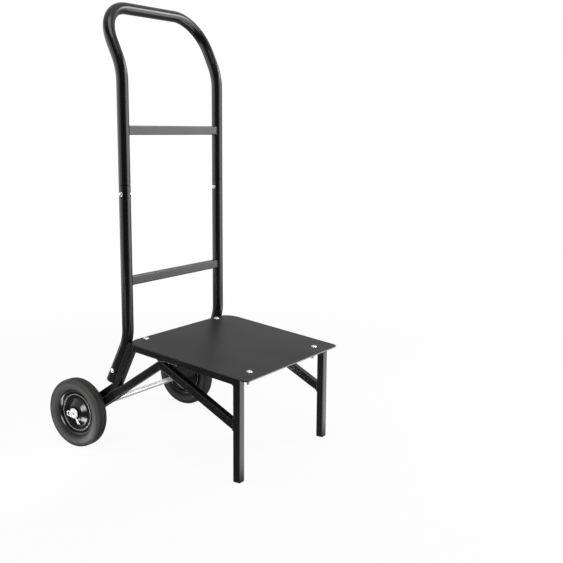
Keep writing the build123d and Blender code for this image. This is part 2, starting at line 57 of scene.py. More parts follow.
def middle(node):
    """Middle of a CAD node's box."""
    low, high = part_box(node)
    return (Vector(low) + Vector(high)) / 2


def half_size(node):
    """Half the size of a CAD node's box."""
    low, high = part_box(node)
    return (Vector(high) - Vector(low)) / 2


# %% [markdown]
# ## The camera
# A product shot is taken from a little above the handle's middle, off the near front corner. The place,
# heading and focal length below put the CAD model where the photograph has it. The small shift only centres
# the frame.

# %% Camera
CAMERA_PLACE = (-2.0236, -1.5868, 0.9102)
CAMERA_HEADING = math.radians(57.164)
CAMERA_DIP = math.radians(10.059)
CAMERA_ROLL = math.radians(0.399)
SENSOR_WIDTH = 36.0
FOCAL_LENGTH = 57.145
FRAME_SHIFT = (0.0069, 0.0106)

bpy.ops.object.camera_add(location=CAMERA_PLACE)
camera = bpy.context.object
camera.name = "photo_camera"
turn = Matrix.Rotation(-CAMERA_HEADING, 4, "Z")
tilt = Matrix.Rotation(math.pi / 2 - CAMERA_DIP, 4, "X")
roll = Matrix.Rotation(CAMERA_ROLL, 4, "Z")
camera.rotation_euler = (turn @ tilt @ roll).to_euler()
camera.data.sensor_width = SENSOR_WIDTH
camera.data.lens = FOCAL_LENGTH
camera.data.shift_x, camera.data.shift_y = FRAME_SHIFT
bpy.context.scene.camera = camera
print("camera", [round(c, 3) for c in camera.location], "lens", camera.data.lens)

# %% [markdown]
# ## The floor
# The cart stands on a sheet of white paper that has no visible far edge. A lit white plane never comes out
# evenly white, so the paper's shader shows the camera a share of plain white and lets the rest be lit. The
# lit share is what carries the cart's shadow. Away from the cart the plain share grows to all of it, and the
# edge disappears.
#
# Gloss paint also mirrors the floor, and a mirrored ray sees the paper in another way: pale under the cart
# and behind it, dim on the near side where the camera stands, and bright in a broad pool of light before
# the cart. Two small and very bright spots beside the near wheel put glints on its rim.

# %% Small helpers for node trees
def add_node(tree, kind, **values):
    """A new node, with the values of its sockets or its own settings."""
    node = tree.nodes.new(kind)
    for label, value in values.items():
        socket = node.inputs.get(label.replace("_", " ").title())
        if socket is None:
            setattr(node, label, value)
        else:
            socket.default_value = value
    return node


def ramp_between(tree, value, low, high, at_low, at_high):
    """A soft step of a value: at_low below low, at_high above high."""
    step = add_node(tree, "ShaderNodeMapRange", from_min=low, from_max=high, to_min=at_low, to_max=at_high)
    step.interpolation_type = "SMOOTHSTEP"
    tree.links.new(value, step.inputs["Value"])
    return step.outputs["Result"]


def along(tree, vector, direction):
    """How far a vector reaches in a direction."""
    dot = add_node(tree, "ShaderNodeVectorMath", operation="DOT_PRODUCT")
    dot.inputs[1].default_value = Vector(direction).normalized()
    tree.links.new(vector, dot.inputs[0])
    return dot.outputs["Value"]


def combined(tree, operation, first, second):
    """One value from two, by an operation of the Math node."""
    node = add_node(tree, "ShaderNodeMath", operation=operation)
    tree.links.new(first, node.inputs[0])
    tree.links.new(second, node.inputs[1])
    return node.outputs[0]


def either(tree, first, second):
    """The larger of two values."""
    return combined(tree, "MAXIMUM", first, second)


def product(tree, first, second):
    """Two values multiplied."""
    return combined(tree, "MULTIPLY", first, second)


def mixed(tree, factor, first, second):
    """A mix of two values; each is a socket or a number."""
    mix = add_node(tree, "ShaderNodeMix")
    tree.links.new(factor, mix.inputs["Factor"])
    for label, value in (("A", first), ("B", second)):
        if isinstance(value, float):
            mix.inputs[label].default_value = value
        else:
            tree.links.new(value, mix.inputs[label])
    return mix.outputs["Result"]


# %% Floor
FLOOR_SIZE = 30.0
FLOOR_WHITE = (0.93, 0.93, 0.93, 1.0)
PLAIN_SHARE = 0.92
FADE_START = 0.9
FADE_END = 2.6
BACK_OF_STUDIO = (math.sin(CAMERA_HEADING), math.cos(CAMERA_HEADING), 0.0)
FRONT_OF_CART = (0, -1, 0)
PAPER_FRONT = -1.2
PAPER_BRIGHT = 0.4
PAPER_MIRRORED = 0.30
DIM_SIDE = 0.07
FRONT_POOL = {"place": (0.4, -1.0, 0.0), "full": 0.7, "gone": 1.3, "brightness": 2.0}
FRONT_POOL_EDGE = (0.27, 0.40)
WHEEL_SPOT_PLACES = ((-0.335, 0.205, 0.0), (-0.365, 0.28, 0.0))
WHEEL_SPOT = {"full": 0.025, "gone": 0.045, "brightness": 22.0}

bpy.ops.object.select_all(action="DESELECT")
bpy.ops.mesh.primitive_plane_add(size=FLOOR_SIZE)
floor = bpy.context.object
floor.name = "floor"
paper = bpy.data.materials.new("floor_paper")
paper.use_nodes = True
sheet = paper.node_tree
sheet.nodes.clear()
spot = add_node(sheet, "ShaderNodeTexCoord").outputs["Object"]
reach = add_node(sheet, "ShaderNodeVectorMath", operation="LENGTH")
sheet.links.new(spot, reach.inputs[0])
plain = ramp_between(sheet, reach.outputs["Value"], FADE_START, FADE_END, PLAIN_SHARE, 1.0)
depth = along(sheet, spot, BACK_OF_STUDIO)
glow = ramp_between(sheet, depth, PAPER_FRONT, PAPER_BRIGHT, DIM_SIDE, PAPER_MIRRORED)


def pool_of_light(place, full, gone, brightness):
    """A round bright patch of the floor that fades out between two distances."""
    distance = add_node(sheet, "ShaderNodeVectorMath", operation="DISTANCE")
    distance.inputs[1].default_value = place
    sheet.links.new(spot, distance.inputs[0])
    return ramp_between(sheet, distance.outputs["Value"], full, gone, brightness, 0.0)


before_cart = ramp_between(sheet, along(sheet, spot, FRONT_OF_CART), *FRONT_POOL_EDGE, 0.0, 1.0)
glow = either(sheet, glow, product(sheet, before_cart, pool_of_light(**FRONT_POOL)))
for spot_place in WHEEL_SPOT_PLACES:
    glow = either(sheet, glow, pool_of_light(spot_place, **WHEEL_SPOT))
paper_rays = add_node(sheet, "ShaderNodeLightPath").outputs
straight = either(sheet, paper_rays["Is Camera Ray"], paper_rays["Is Transmission Ray"])
seen = mixed(sheet, straight, 0.0, plain)
share = mixed(sheet, paper_rays["Is Glossy Ray"], seen, 1.0)
strength = mixed(sheet, paper_rays["Is Glossy Ray"], 1.0, glow)
lit_paper = add_node(sheet, "ShaderNodeBsdfDiffuse", color=FLOOR_WHITE)
plain_paper = add_node(sheet, "ShaderNodeEmission")
sheet.links.new(strength, plain_paper.inputs["Strength"])
paper_mix = add_node(sheet, "ShaderNodeMixShader")
sheet.links.new(share, paper_mix.inputs["Fac"])
sheet.links.new(lit_paper.outputs[0], paper_mix.inputs[1])
sheet.links.new(plain_paper.outputs[0], paper_mix.inputs[2])
paper_out = add_node(sheet, "ShaderNodeOutputMaterial")
sheet.links.new(paper_mix.outputs[0], paper_out.inputs["Surface"])
floor.data.materials.append(paper)
print("floor", FLOOR_SIZE, "m square")

# %% [markdown]
# ## The room
# Black gloss paint looks like what it mirrors, so the room matters more here than the lamps. A pale backdrop
# hangs behind the cart, and the side where the camera stands is left dim. The tubes then mirror the dim side
# in their middles, which is what makes them look round and black. The camera itself, wherever it stands,
# sees plain white.

# %% World
ROOM_LIGHT = 0.30
ROOM_WHITE = (1.0, 1.0, 1.0, 1.0)
BACKDROP_MIRRORED = 0.6
BACKDROP_RISE = 0.35
BACKDROP_FADE = (-0.35, 0.6)

world = bpy.data.worlds.new("studio_room")
bpy.context.scene.world = world
world.use_nodes = True
room = world.node_tree
room.nodes.clear()
look = add_node(room, "ShaderNodeTexCoord").outputs["Generated"]
behind = along(room, look, (*BACK_OF_STUDIO[:2], BACKDROP_RISE))
backdrop = ramp_between(room, behind, *BACKDROP_FADE, DIM_SIDE, BACKDROP_MIRRORED)
room_rays = add_node(room, "ShaderNodeLightPath").outputs
clear = either(room, room_rays["Is Camera Ray"], room_rays["Is Transmission Ray"])
mirrored_wall = mixed(room, room_rays["Is Glossy Ray"], ROOM_LIGHT, backdrop)
level = mixed(room, clear, mirrored_wall, 1.0)
wall = add_node(room, "ShaderNodeBackground", color=ROOM_WHITE)
room.links.new(level, wall.inputs["Strength"])
sky = add_node(room, "ShaderNodeOutputWorld")
room.links.new(wall.outputs[0], sky.inputs["Surface"])
print("room light", ROOM_LIGHT)

# %% [markdown]
# ## The lamps
# Soft boxes do the rest. The large one stands in front of the cart, where it lights the front faces of the
# legs and crossbars and draws a pale stripe down the right of every round tube. Two weaker ones stand on the
# near side for the stripe on the left, and another hangs above for the top bar and the deck. Two more
# light one piece each: the grip box is mirrored in the grip bar, and the wheel box in the near rim. A narrow
# spread keeps the wheel box off the handle's tubes, where it would draw a stripe of its own.

# %% Lamps
def soft_box(name, place, target, width, height, power, spread=180):
    """A rectangular area lamp that looks at a point, with a spread in degrees."""
    aim = (Vector(target) - Vector(place)).to_track_quat("-Z", "Y").to_euler()
    bpy.ops.object.light_add(type="AREA", location=place, rotation=aim)
    lamp = bpy.context.object
    lamp.name = name
    lamp.data.shape = "RECTANGLE"
    lamp.data.size = width
    lamp.data.size_y = height
    lamp.data.energy = power
    lamp.data.spread = math.radians(spread)
    lamp.visible_camera = False


soft_box("front_box", place=(1.22, -1.95, 1.0), target=(0, 0, 1.0), width=2.6, height=1.9, power=38)
soft_box("left_box", place=(-1.0, 2.07, 1.0), target=(0, 0, 1.0), width=1.9, height=1.9, power=17)
soft_box("left_fill", place=(-2.0, 0.95, 1.0), target=(0, 0, 1.0), width=1.2, height=1.9, power=7.5)
soft_box("top_box", place=(-0.6, -0.8, 3.2), target=(0, 0, 0.4), width=1.6, height=1.6, power=22)
soft_box("grip_box", place=(1.95, -1.35, 2.05), target=(0, 0.15, 1.23), width=1.0, height=0.7, power=16)
soft_box("wheel_box", place=(-0.85, 0.10, 0.28), target=(-0.26, 0.24, 0.1), width=0.22, height=0.34,
         power=0.5, spread=62)
bpy.context.scene.view_settings.view_transform = "Standard"

# %% [markdown]
# ## Finishes
# The tubes and the deck are powder coated: a thin plastic skin with a faint orange-peel surface. One node
# group makes that skin from two noises, a fine one for the peel and a broad one for the slow drift in gloss.
# The paint, zinc, rubber and plastics use it as well, each at its own scale. The groups put out plain
# values, and each material keeps its own shader.

# %% A node group for coats and mouldings
PEEL_DETAIL = 2.0
DRIFT_DETAIL = 3.0


def new_group(name, inputs, outputs):
    """An empty shader node group with named value sockets."""
    group = bpy.data.node_groups.new(name, "ShaderNodeTree")
    for label, value in inputs:
        socket = group.interface.new_socket(label, in_out="INPUT", socket_type="NodeSocketFloat")
        socket.default_value = value
    for label in outputs:
        group.interface.new_socket(label, in_out="OUTPUT", socket_type="NodeSocketFloat")
    entry = group.nodes.new("NodeGroupInput")
    leave = group.nodes.new("NodeGroupOutput")
    return group, entry, leave


def noise_in(group, entry, vector, scale_input, detail):
    """A noise texture whose scale comes from a group input."""
    noise = add_node(group, "ShaderNodeTexNoise", detail=detail)
    group.links.new(vector, noise.inputs["Vector"])
    group.links.new(entry.outputs[scale_input], noise.inputs["Scale"])
    return noise.outputs["Fac"]


skin_inputs = [("Peel Scale", 700.0), ("Drift Scale", 9.0)]
surface_group, entry, leave = new_group("surface_skin", skin_inputs, ["Peel", "Drift"])
where = add_node(surface_group, "ShaderNodeTexCoord").outputs["Object"]
peel = noise_in(surface_group, entry, where, "Peel Scale", PEEL_DETAIL)
drift = noise_in(surface_group, entry, where, "Drift Scale", DRIFT_DETAIL)
surface_group.links.new(peel, leave.inputs["Peel"])
surface_group.links.new(drift, leave.inputs["Drift"])
print("group", surface_group.name, [item.name for item in surface_group.interface.items_tree])

# %% A material that uses it
DRIFT_RANGE = (0.3, 0.7)


def skin_material(name, dark, light, gloss, peel_scale, drift_scale, peel_height,
                  metallic=0.0, specular=0.5):
    """Principled material: colour and roughness drift between two values, and the peel is a fine bump."""
    material = bpy.data.materials.new(name)
    material.use_nodes = True
    tree = material.node_tree
    shader = tree.nodes["Principled BSDF"]
    shader.inputs["Metallic"].default_value = metallic
    shader.inputs["Specular IOR Level"].default_value = specular
    skin = tree.nodes.new("ShaderNodeGroup")
    skin.node_tree = surface_group
    skin.inputs["Peel Scale"].default_value = peel_scale
    skin.inputs["Drift Scale"].default_value = drift_scale
    colour = add_node(tree, "ShaderNodeMix", data_type="RGBA")
    colour.inputs["A"].default_value = (*dark, 1.0)
    colour.inputs["B"].default_value = (*light, 1.0)
    tree.links.new(skin.outputs["Drift"], colour.inputs["Factor"])
    tree.links.new(colour.outputs["Result"], shader.inputs["Base Color"])
    rough = add_node(tree, "ShaderNodeMapRange", from_min=DRIFT_RANGE[0], from_max=DRIFT_RANGE[1],
                     to_min=gloss[0], to_max=gloss[1])
    tree.links.new(skin.outputs["Drift"], rough.inputs["Value"])
    tree.links.new(rough.outputs["Result"], shader.inputs["Roughness"])
    bump = add_node(tree, "ShaderNodeBump", distance=peel_height)
    tree.links.new(skin.outputs["Peel"], bump.inputs["Height"])
    tree.links.new(bump.outputs["Normal"], shader.inputs["Normal"])
    return material


frame_coat = skin_material(
    "frame_coat", dark=(0.0032, 0.0032, 0.0034), light=(0.0050, 0.0050, 0.0053), gloss=(0.18, 0.25),
    peel_scale=650, drift_scale=7, peel_height=0.00005, specular=0.6)
deck_coat = skin_material(
    "deck_coat", dark=(0.0095, 0.0095, 0.0095), light=(0.0130, 0.0130, 0.0132), gloss=(0.40, 0.48),
    peel_scale=900, drift_scale=5, peel_height=0.00005, specular=0.35)
rim_paint = skin_material(
    "rim_paint", dark=(0.0022, 0.0022, 0.0022), light=(0.0036, 0.0036, 0.0037), gloss=(0.17, 0.24),
    peel_scale=500, drift_scale=20, peel_height=0.00003, specular=0.36)
zinc = skin_material(
    "zinc", dark=(0.90, 0.91, 0.92), light=(0.95, 0.96, 0.97), gloss=(0.14, 0.20),
    peel_scale=900, drift_scale=60, peel_height=0.00001, metallic=0.55)
rubber = skin_material(
    "rubber", dark=(0.0150, 0.0149, 0.0145), light=(0.0210, 0.0208, 0.0203), gloss=(0.50, 0.62),
    peel_scale=1200, drift_scale=30, peel_height=0.00010, specular=0.2)
black_plastic = skin_material(
    "black_plastic", dark=(0.007, 0.007, 0.007), light=(0.012, 0.012, 0.012), gloss=(0.45, 0.58),
    peel_scale=1500, drift_scale=40, peel_height=0.00008)
nylon = skin_material(
    "nylon", dark=(0.70, 0.68, 0.62), light=(0.78, 0.76, 0.70), gloss=(0.40, 0.50),
    peel_scale=800, drift_scale=40, peel_height=0.00003)
print("coats and mouldings", [material.name for material in bpy.data.materials])

# %% [markdown]
# ### Painted highlights on the bead and the deck edge, and mould rings
# The raised bead of each rim gets a fine pale line painted on it, a painted highlight that stands in for the
# gloss it would catch. The tyres carry faint rings from their mould. Both patterns depend only on the
# distance from the axle, so one group measures that, and each material makes its own use of it. The sheared
# front edge of the deck gets a painted highlight too, a pale line. It is found by how far forward a point
# lies.

# %% Distance from the axle
axle_line = middle("axle")

axle_group, entry, leave = new_group("from_axle", [], ["Radius"])
offset = add_node(axle_group, "ShaderNodeVectorMath", operation="SUBTRACT")
offset.inputs[1].default_value = axle_line
axle_group.links.new(add_node(axle_group, "ShaderNodeTexCoord").outputs["Object"], offset.inputs[0])
flat = add_node(axle_group, "ShaderNodeVectorMath", operation="MULTIPLY")
flat.inputs[1].default_value = (0.0, 1.0, 1.0)
axle_group.links.new(offset.outputs[0], flat.inputs[0])
radius_node = add_node(axle_group, "ShaderNodeVectorMath", operation="LENGTH")
axle_group.links.new(flat.outputs[0], radius_node.inputs[0])
axle_group.links.new(radius_node.outputs["Value"], leave.inputs["Radius"])


def radius_in(tree):
    """The distance from the axle, as a socket of a material."""
    group = tree.nodes.new("ShaderNodeGroup")
    group.node_tree = axle_group
    return group.outputs["Radius"]


print("axle line", [round(c, 4) for c in axle_line])

# %% Painted highlight on the bead of the rims
BEAD_HIGHLIGHT_FROM = 0.0517
BEAD_HIGHLIGHT_TO = 0.0543
BEAD_HIGHLIGHT_FADE = 0.0006
BEAD_HIGHLIGHT_COLOUR = (0.21, 0.21, 0.215, 1.0)


def overlay(material, mask, colour):
    """Lay another colour over a material where a mask is 1."""
    tree = material.node_tree
    shader = tree.nodes["Principled BSDF"]
    coat = add_node(tree, "ShaderNodeMix", data_type="RGBA")
    tree.links.new(mask, coat.inputs["Factor"])
    tree.links.new(shader.inputs["Base Color"].links[0].from_socket, coat.inputs["A"])
    coat.inputs["B"].default_value = colour
    tree.links.new(coat.outputs["Result"], shader.inputs["Base Color"])


rim_tree = rim_paint.node_tree
rim_radius = radius_in(rim_tree)
highlight_inside = ramp_between(rim_tree, rim_radius, BEAD_HIGHLIGHT_FROM, BEAD_HIGHLIGHT_FROM + BEAD_HIGHLIGHT_FADE, 0.0, 1.0)
highlight_outside = ramp_between(rim_tree, rim_radius, BEAD_HIGHLIGHT_TO - BEAD_HIGHLIGHT_FADE, BEAD_HIGHLIGHT_TO, 1.0, 0.0)
# Painted highlight: the bead is coloured pale, in place of the gloss it would catch.
overlay(rim_paint, product(rim_tree, highlight_inside, highlight_outside), BEAD_HIGHLIGHT_COLOUR)
print("rim nodes", len(rim_tree.nodes))

# %% Painted highlight on the front edge of the deck
DECK_EDGE_HIGHLIGHT_FADE = (0.0012, 0.0004)
DECK_EDGE_HIGHLIGHT_COLOUR = (0.20, 0.20, 0.20, 1.0)

deck_tree = deck_coat.node_tree
deck_spot = add_node(deck_tree, "ShaderNodeTexCoord").outputs["Object"]
deck_front = -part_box("deck_plate")[0][1]
forward = along(deck_tree, deck_spot, FRONT_OF_CART)
edge_highlight_places = [deck_front - inside for inside in DECK_EDGE_HIGHLIGHT_FADE]
# Painted highlight: a pale line of colour along the deck's front edge.
overlay(deck_coat, ramp_between(deck_tree, forward, *edge_highlight_places, 0.0, 1.0), DECK_EDGE_HIGHLIGHT_COLOUR)
print("deck coat nodes", len(deck_tree.nodes))

# %% Pale bulge and mould rings of the tyres
BULGE_COLOUR = (0.058, 0.057, 0.055, 1.0)
BULGE_RISES = (0.069, 0.083)
BULGE_FALLS = (0.085, 0.092)
BULGE_REST = 0.22
TREAD_RISES = (0.0925, 0.0965)
TREAD_SHARE = 0.62
RING_PITCH = 0.0024
RING_HEIGHT = 0.00004

tyre_tree = rubber.node_tree
tyre_shader = tyre_tree.nodes["Principled BSDF"]
tyre_distance = radius_in(tyre_tree)
bulge_rise = ramp_between(tyre_tree, tyre_distance, *BULGE_RISES, 0.0, 1.0)
bulge_fall = ramp_between(tyre_tree, tyre_distance, *BULGE_FALLS, 1.0, BULGE_REST)
bulge = product(tyre_tree, bulge_rise, bulge_fall)
tread = ramp_between(tyre_tree, tyre_distance, *TREAD_RISES, 0.0, TREAD_SHARE)
overlay(rubber, either(tyre_tree, bulge, tread), BULGE_COLOUR)
turns = add_node(tyre_tree, "ShaderNodeMath", operation="MULTIPLY")
turns.inputs[1].default_value = 2 * math.pi / RING_PITCH
tyre_tree.links.new(tyre_distance, turns.inputs[0])
ripple = add_node(tyre_tree, "ShaderNodeMath", operation="SINE")
tyre_tree.links.new(turns.outputs[0], ripple.inputs[0])
ring_bump = add_node(tyre_tree, "ShaderNodeBump", distance=RING_HEIGHT)
tyre_tree.links.new(ripple.outputs[0], ring_bump.inputs["Height"])
tyre_tree.links.new(tyre_shader.inputs["Normal"].links[0].from_socket, ring_bump.inputs["Normal"])
tyre_tree.links.new(ring_bump.outputs["Normal"], tyre_shader.inputs["Normal"])
print("rubber nodes", len(tyre_tree.nodes))

# %% Finishes of the CAD nodes
slot_finish = {
    "frame_coat": frame_coat,
    "deck_coat": deck_coat,
    "rim_paint": rim_paint,
    "zinc": zinc,
    "tyre": rubber,
    "black_plastic": black_plastic,
    "nylon": nylon,
}
for row in frame["record"]["subparts"]:
    for place in nodes[row["node"]].material_slots:
        place.material = slot_finish[row["material_slot"]]
print("finishes", sorted(slot_finish))

# %% [markdown]
# ## Modelling helpers
# Operators act on whatever is selected, and the CAD nodes come in selected, so each piece starts from
# nothing selected. Most of the small pieces here are round, and a round piece is a line drawn in profile and
# spun round an axis. The line is drawn as by hand: one vertex is extruded from place to place. A turned
# piece is made upright at the origin, then set down where it belongs, and its place is applied to its mesh.

# %% Drawing and turning
SAME_PLACE = 0.000004
SMOOTH_ANGLE = 35
FIRST_SQUARE = 0.01


def begin():
    """Object mode with nothing selected."""
    if bpy.context.mode != "OBJECT":
        bpy.ops.object.mode_set(mode="OBJECT")
    bpy.ops.object.select_all(action="DESELECT")


def choose(piece):
    """Object mode with one piece selected and active."""
    begin()
    piece.select_set(True)
    bpy.context.view_layer.objects.active = piece


def draw_line(name, points):
    """A mesh line through points, left in edit mode. It starts as a square merged to one vertex."""
    begin()
    bpy.ops.mesh.primitive_plane_add(size=FIRST_SQUARE)
    bpy.context.object.name = name
    bpy.ops.object.mode_set(mode="EDIT")
    bpy.ops.mesh.merge(type="CENTER")
    pen = Vector((0.0, 0.0, 0.0))
    for count, point in enumerate(points):
        step = Vector(point) - pen
        if count == 0:
            bpy.ops.transform.translate(value=step)
        else:
            bpy.ops.mesh.extrude_vertices_move(TRANSFORM_OT_translate={"value": step})
        pen = Vector(point)


def merge_all():
    """Merge the vertices that coincide."""
    bpy.ops.mesh.select_all(action="SELECT")
    bpy.ops.mesh.remove_doubles(threshold=SAME_PLACE)


def close_up(smooth_angle=SMOOTH_ANGLE):
    """Finish the piece in edit mode: nothing doubled, faces outwards, rounded parts shaded smooth."""
    merge_all()
    bpy.ops.mesh.normals_make_consistent(inside=False)
    bpy.ops.object.mode_set(mode="OBJECT")
    bpy.ops.object.shade_smooth_by_angle(angle=math.radians(smooth_angle))
    return bpy.context.object


def turned(name, profile, steps, smooth_angle=SMOOTH_ANGLE):
    """A piece turned round Z from a profile of (radius, height) points."""
    draw_line(name, [(radius, 0.0, height) for radius, height in profile])
    bpy.ops.mesh.select_all(action="SELECT")
    bpy.ops.mesh.spin(steps=steps, angle=2 * math.pi, center=(0, 0, 0), axis=(0, 0, 1))
    return close_up(smooth_angle)


def set_down(piece, place, direction, spin=0.0):
    """Turn a piece's Z to a direction, move it to its place and apply that to its mesh."""
    choose(piece)
    aimed = Vector(direction).to_track_quat("Z", "Y").to_matrix().to_4x4()
    piece.matrix_world = Matrix.Translation(place) @ aimed @ Matrix.Rotation(spin, 4, "Z")
    bpy.ops.object.transform_apply(location=True, rotation=True, scale=True)
    return piece


def copy_of(piece, name):
    """A copy with its own mesh."""
    choose(piece)
    bpy.ops.object.duplicate(linked=False)
    twin = bpy.context.object
    twin.name = name
    return twin


def mirrored(piece, name):
    """The twin of a piece on the other side of the cart, its faces turned outwards again."""
    twin = copy_of(piece, name)
    bpy.ops.object.mode_set(mode="EDIT")
    bpy.ops.mesh.select_all(action="SELECT")
    bpy.ops.transform.mirror(constraint_axis=(True, False, False), orient_type="GLOBAL",
                             center_override=(0, 0, 0))
    bpy.ops.mesh.normals_make_consistent(inside=False)
    bpy.ops.object.mode_set(mode="OBJECT")
    return twin


def joined(name, pieces):
    """Several pieces as one object."""
    choose(pieces[0])
    for piece in pieces:
        piece.select_set(True)
    if len(pieces) > 1:
        bpy.ops.object.join()
    whole = bpy.context.object
    whole.name = name
    return whole


def fit_out(piece, body, slot, *stands_for):
    """Give a finished piece its body, its finish and the CAD nodes it stands for."""
    piece.data.materials.clear()
    piece.data.materials.append(slot_finish[slot])
    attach(piece, body)
    if stands_for:
        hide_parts(*stands_for)
    print(piece.name, "faces", len(piece.data.polygons), "on", body)


def fit_pair(near, far_name, slot, node=None):
    """Mirror a near piece of the frame to the far side, and fit both out."""
    for piece, side in ((near, "left"), (mirrored(near, far_name), "right")):
        fit_out(piece, "frame", slot, *([f"{node}_{side}"] if node else []))


def arc(centre, radius, start, stop, steps):
    """Points of an arc in a plane, from one angle to another, in degrees."""
    angles = [math.radians(start + (stop - start) * count / steps) for count in range(steps + 1)]
    return [(centre[0] + radius * math.cos(a), centre[1] + radius * math.sin(a)) for a in angles]


def pick_faces(piece, rule):
    """Edit mode with only those faces selected that a rule picks."""
    choose(piece)
    bpy.ops.object.mode_set(mode="EDIT")
    bpy.ops.mesh.select_mode(type="FACE")
    bpy.ops.mesh.select_all(action="DESELECT")
    bpy.ops.object.mode_set(mode="OBJECT")
    for face in piece.data.polygons:
        face.select = rule(face)
    bpy.ops.object.mode_set(mode="EDIT")


# %% [markdown]
# ## Tyres
# The tyre is a solid rubber ring. Its sidewall climbs steeply out of the rim, bulges, and turns over a full
# round shoulder onto the tread, which is cut by ring grooves with rows of short cross ribs between them.
# Half of the section is worked out as a profile and mirrored in code, and the ring is turned in one go. For
# the ribs, the faces of every second sector are pushed inwards, so the steps of the spin set their pitch.

# %% Section of the tyre
TYRE_STEPS = 280
SEAT_RADIUS = 0.0596
SEAT_HALF = 0.0042
EDGE_RADIUS = 0.0670
EDGE_HALF = 0.0098
WIDEST_RADIUS = 0.0800
SWELL_POWER = 0.75
SIDEWALL_STEPS = 14
RAISED_STEPS = (3, 8)
RAISED_BY = 0.0004
SHOULDER_HALF = 0.0085
SHOULDER_POWER = 2.4
SHOULDER_PLACES = (0.0142, 0.0154, 0.0166, 0.0177, 0.0187, 0.0196, 0.0203, 0.0207)
CROWN_FALL = 3.0
CROWN_PLACES = (0.0, 0.002)
RIB_PLACES = (0.0062, 0.0080, 0.0097, 0.0114)
INNER_GROOVE = {"place": 0.0044, "half": 0.0011, "depth": 0.0020}
OUTER_GROOVE = {"place": 0.0126, "half": 0.0006, "depth": 0.0012}
GROOVE_FLOOR = 0.6

tyre_radius = half_size("tyre_left").z
tyre_half = half_size("tyre_left").x


def crown(x):
    """Radius of the tread, which falls a little to the shoulders and then turns down over them."""
    if x <= SHOULDER_HALF:
        return tyre_radius - CROWN_FALL * x * x
    across = (x - SHOULDER_HALF) / (tyre_half - SHOULDER_HALF)
    drop = max(0.0, 1.0 - across ** SHOULDER_POWER) ** (1 / SHOULDER_POWER)
    edge = tyre_radius - CROWN_FALL * SHOULDER_HALF ** 2
    return WIDEST_RADIUS + (edge - WIDEST_RADIUS) * drop


def on_crown(places):
    """Points of the tread at some places across it."""
    return [(x, crown(x)) for x in places]


def groove(place, half, depth):
    """Profile of one ring groove, from its inner edge to its outer edge."""
    floor_radius = crown(place) - depth
    floor_half = GROOVE_FLOOR * half
    floor_points = [(place - floor_half, floor_radius), (place + floor_half, floor_radius)]
    return on_crown([place - half]) + floor_points + on_crown([place + half])


def sidewall(step):
    """Point of the sidewall, from the widest place at step 0 to the rim's edge at the last step."""
    share = step / SIDEWALL_STEPS
    radius = WIDEST_RADIUS + (EDGE_RADIUS - WIDEST_RADIUS) * share
    swell = math.sin(math.radians(90 * (1 - share))) ** SWELL_POWER
    half = EDGE_HALF + (tyre_half - EDGE_HALF) * swell
    return half + (RAISED_BY if step in RAISED_STEPS else 0.0), radius


half_section = on_crown(CROWN_PLACES) + groove(**INNER_GROOVE) + on_crown(RIB_PLACES)
half_section += groove(**OUTER_GROOVE) + on_crown(SHOULDER_PLACES)
half_section += [sidewall(step) for step in range(SIDEWALL_STEPS + 1)]
half_section += [(SEAT_HALF, EDGE_RADIUS), (SEAT_HALF, SEAT_RADIUS), (0.0, SEAT_RADIUS)]
other_half = [(-x, radius) for x, radius in reversed(half_section)]
tyre_profile = [(radius, x) for x, radius in half_section + other_half[1:]]
print("tyre points", len(tyre_profile), "width", round(2 * tyre_half, 4), "radius", round(tyre_radius, 4))

# %% Turn the tyre and cut its ribs
RIB_DEPTH = 0.0011

tyre = turned("tyre_near", tyre_profile, TYRE_STEPS)
sector = 2 * math.pi / TYRE_STEPS


def between_ribs(face):
    """True for the faces of every second sector in the two rows of ribs."""
    at = face.center
    number = int((math.atan2(at.y, at.x) % (2 * math.pi)) / sector)
    on_tread = math.hypot(at.x, at.y) > WIDEST_RADIUS
    return on_tread and number % 2 == 0 and RIB_PLACES[0] < abs(at.z) < RIB_PLACES[-1]


pick_faces(tyre, between_ribs)
bpy.ops.mesh.extrude_region_shrink_fatten(TRANSFORM_OT_shrink_fatten={"value": -RIB_DEPTH})
bpy.ops.mesh.select_mode(type="VERT")
bpy.ops.object.mode_set(mode="OBJECT")
bpy.ops.object.shade_smooth_by_angle(angle=math.radians(SMOOTH_ANGLE))
far_tyre = copy_of(tyre, "tyre_far")
set_down(tyre, middle("tyre_left"), (-1, 0, 0))
set_down(far_tyre, middle("tyre_right"), (1, 0, 0))
fit_out(tyre, "wheel_left", "tyre", "tyre_left")
fit_out(far_tyre, "wheel_right", "tyre", "tyre_right")

# %% [markdown]
# ## Rims
# Each wheel disc is two pressings welded back to back. A pressing has a domed middle round the hub, a flat
# ring, a raised bead that stiffens it, and a rim that flares out to the tyre and is rolled over so that it
# does not cut the rubber. Somewhere the flare leans as much as the dome, so both catch the same lamp, across
# the axle. One closed profile is turned, and three copies give the other pressings.

# %% Profile of a pressing
RIM_STEPS = 144
RIM_SMOOTH = 40
HUB_HOLE = 0.0122
DOME_HEIGHT = 0.0130
DOME_ARC = 0.0220
DOME_LEAN = 33.8
DOME_FLAT = 0.0163
DOME_FOOT = 0.04152
DOME_FOOT_ROUND = 0.005
RING_FLOOR = 0.0016
BEAD_MIDDLE = (0.0530, 0.0026)
BEAD_ROUND = 0.0022
BEAD_FOOT = 0.0008
BEAD_MARGIN = 0.0002
WALL_RADIUS = 0.0586
WALL_ROUND = 0.0004
FLARE_MIDDLE = (0.0730, -0.0047)
FLARE_ROUND = 0.0166
FLARE_LEANS = (60, 25)
ROLL_MIDDLE = (0.06634, 0.00961)
ROLL_ROUND = 0.0008
ROLL_END = -20
HIDDEN_SIDE = [(0.0660, 0.0090), (0.0594, 0.0036), (0.0594, 0.0), (0.0405, 0.0), (0.0382, 0.0006),
               (0.0276, 0.0079), (0.0159, 0.0114), (HUB_HOLE, 0.0114)]

